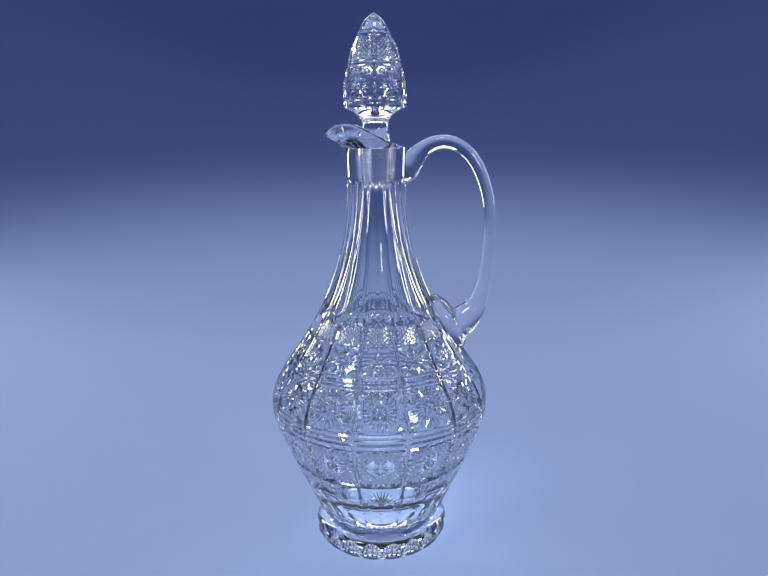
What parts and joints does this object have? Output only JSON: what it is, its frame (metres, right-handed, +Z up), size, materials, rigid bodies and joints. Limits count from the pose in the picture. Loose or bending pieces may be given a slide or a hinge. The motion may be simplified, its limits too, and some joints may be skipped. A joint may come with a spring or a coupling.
{
  "type": "wine decanter",
  "caption": "Cut glass wine decanter with a panelled bowl, fluted neck, poured lip, applied loop handle, round foot and a lift-out ground stopper.",
  "frame": {"origin": "middle of the foot's resting face", "axes": "+Z up along the vessel's axis, the spout points to -X and the handle to +X"},
  "size_m": [0.1481, 0.1438, 0.34],
  "materials": {
    "cut_crystal": "clear lead crystal with polished wheel cuts",
    "clear_crystal": "clear fire-polished lead crystal"
  },
  "bodies": {
    "decanter": {"vessel": "cut_crystal", "foot": "cut_crystal", "handle": "clear_crystal"},
    "stopper": {"stopper": "cut_crystal"}
  },
  "joints": [
    {"name": "stopper_lift", "type": "slide", "parent": "decanter", "child": "stopper", "axis": [0, 0, 1], "range_m": [0, 0.08]}
  ]
}
